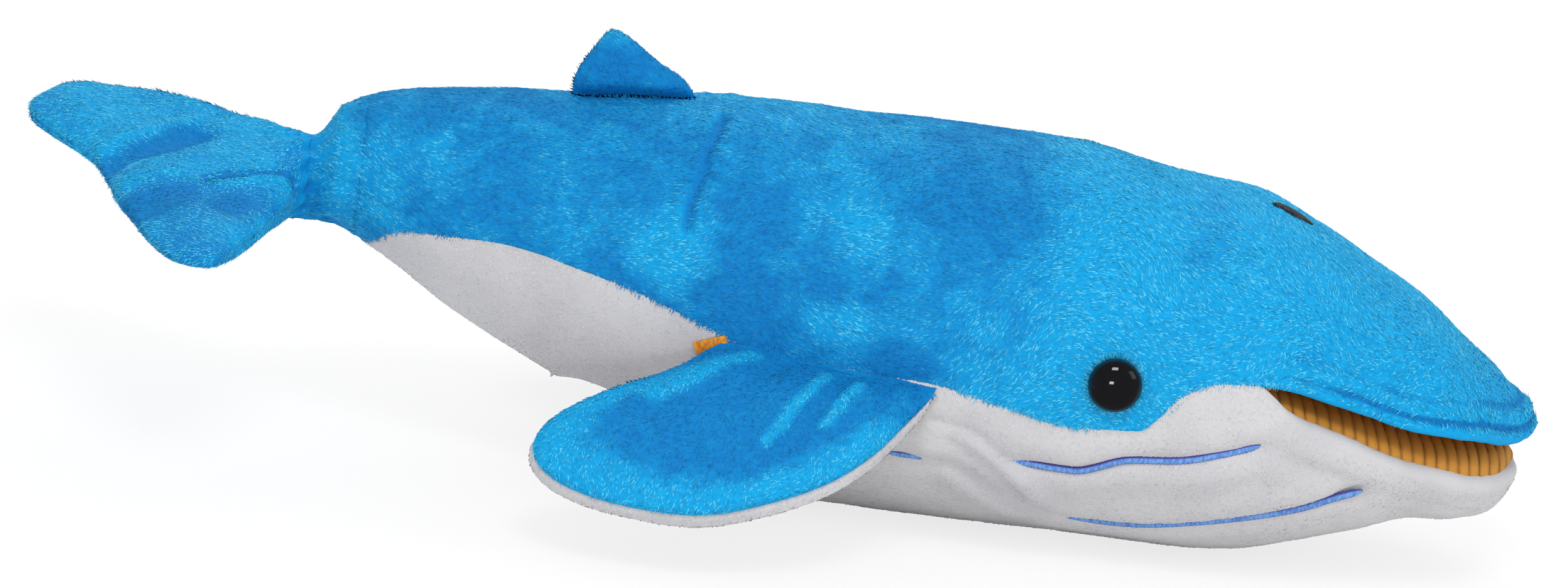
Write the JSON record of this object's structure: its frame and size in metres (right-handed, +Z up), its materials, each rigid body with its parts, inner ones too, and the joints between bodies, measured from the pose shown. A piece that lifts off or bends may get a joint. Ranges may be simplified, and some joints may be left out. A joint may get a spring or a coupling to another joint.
{
  "type": "hand puppet",
  "caption": "Plush whale hand puppet with a talking mouth, flippers, a small dorsal fin, tail flukes and a hand opening in the belly.",
  "frame": {"origin": "on the flat of the belly that the puppet lies on, below the middle of its body", "axes": "+X from the tail to the snout, +Y to the whale's left, +Z up"},
  "size_m": [0.382, 0.1758, 0.1099],
  "materials": {
    "velour": "crushed velour pile",
    "plush": "short plush pile",
    "corduroy": "ribbed corduroy",
    "stuffing": "fibre filling",
    "foam": "padded felt",
    "lining": "plain woven lining",
    "eye": "gloss",
    "washer": "moulded",
    "black_thread": "stitched",
    "groove_thread": "embroidery thread",
    "ribbon": "woven ribbon"
  },
  "bodies": {
    "trunk": {"back_panel": "velour", "belly_panel": "plush", "hand_opening_hem": "lining", "hand_sleeve": "lining", "back_stuffing": "stuffing", "belly_stuffing": "stuffing", "tail_stuffing": "stuffing", "neck_fold": "velour", "throat_fold": "plush", "eye_left": "eye", "eye_right": "eye", "eye_washer_left": "washer", "eye_washer_right": "washer", "throat_groove_upper_left": "groove_thread", "throat_groove_upper_right": "groove_thread", "throat_groove_lower_left": "groove_thread", "throat_groove_lower_right": "groove_thread", "seam_tab": "ribbon"},
    "upper_jaw": {"snout_panel": "velour", "upper_palate": "corduroy", "upper_palate_pad": "foam", "finger_pocket": "lining", "snout_stuffing": "stuffing", "blowhole_patch": "black_thread"},
    "lower_jaw": {"jaw_panel": "plush", "lower_palate": "corduroy", "lower_palate_pad": "foam", "thumb_pocket": "lining", "jaw_stuffing": "stuffing", "jaw_groove_left": "groove_thread", "jaw_groove_right": "groove_thread"},
    "flipper_left": {"flipper_top_left": "velour", "flipper_under_left": "plush", "flipper_stuffing_left": "stuffing"},
    "flipper_right": {"flipper_top_right": "velour", "flipper_under_right": "plush", "flipper_stuffing_right": "stuffing"},
    "dorsal_fin": {"dorsal_fin_left_side": "velour", "dorsal_fin_right_side": "velour", "dorsal_fin_stuffing": "stuffing"},
    "waist": {"waist_gather": "velour"},
    "flukes": {"flukes_top": "velour", "flukes_under": "velour", "flukes_stuffing": "stuffing"}
  },
  "joints": [
    {"name": "upper_jaw_lift", "type": "hinge", "parent": "trunk", "child": "upper_jaw", "pos_m": [0.042, 0, 0.054], "axis": [0, -1, 0], "range_deg": [0, 18], "stiffness_Nm_per_rad": 0.6, "deforming": ["neck_fold"]},
    {"name": "lower_jaw_drop", "type": "hinge", "parent": "trunk", "child": "lower_jaw", "pos_m": [0.042, 0, 0.054], "axis": [0, 1, 0], "range_deg": [-2, 25], "stiffness_Nm_per_rad": 0.6, "deforming": ["throat_fold"]},
    {"name": "flipper_left_flap", "type": "hinge", "parent": "trunk", "child": "flipper_left", "pos_m": [-0.0853, 0.04213, 0.047], "axis": [0.9869, 0.1525, -0.0525], "range_deg": [-25, 40], "stiffness_Nm_per_rad": 0.2},
    {"name": "flipper_right_flap", "type": "hinge", "parent": "trunk", "child": "flipper_right", "pos_m": [-0.0853, -0.04213, 0.047], "axis": [-0.9869, 0.1525, 0.0525], "range_deg": [-25, 40], "stiffness_Nm_per_rad": 0.2},
    {"name": "dorsal_fin_flop", "type": "hinge", "parent": "trunk", "child": "dorsal_fin", "pos_m": [-0.12903, 0, 0.09284], "axis": [0.9964, 0, 0.0846], "range_deg": [-30, 30], "stiffness_Nm_per_rad": 0.05},
    {"name": "tail_wag", "type": "hinge", "parent": "trunk", "child": "waist", "pos_m": [-0.191, 0, 0.0645], "axis": [0, 0, 1], "range_deg": [-20, 20], "stiffness_Nm_per_rad": 0.4, "deforming": ["waist_gather"]},
    {"name": "tail_lift", "type": "hinge", "parent": "waist", "child": "flukes", "pos_m": [-0.191, 0, 0.0645], "axis": [-0.3564, 0.9285, 0.1045], "range_deg": [-20, 25], "stiffness_Nm_per_rad": 0.4, "deforming": ["waist_gather"]}
  ]
}
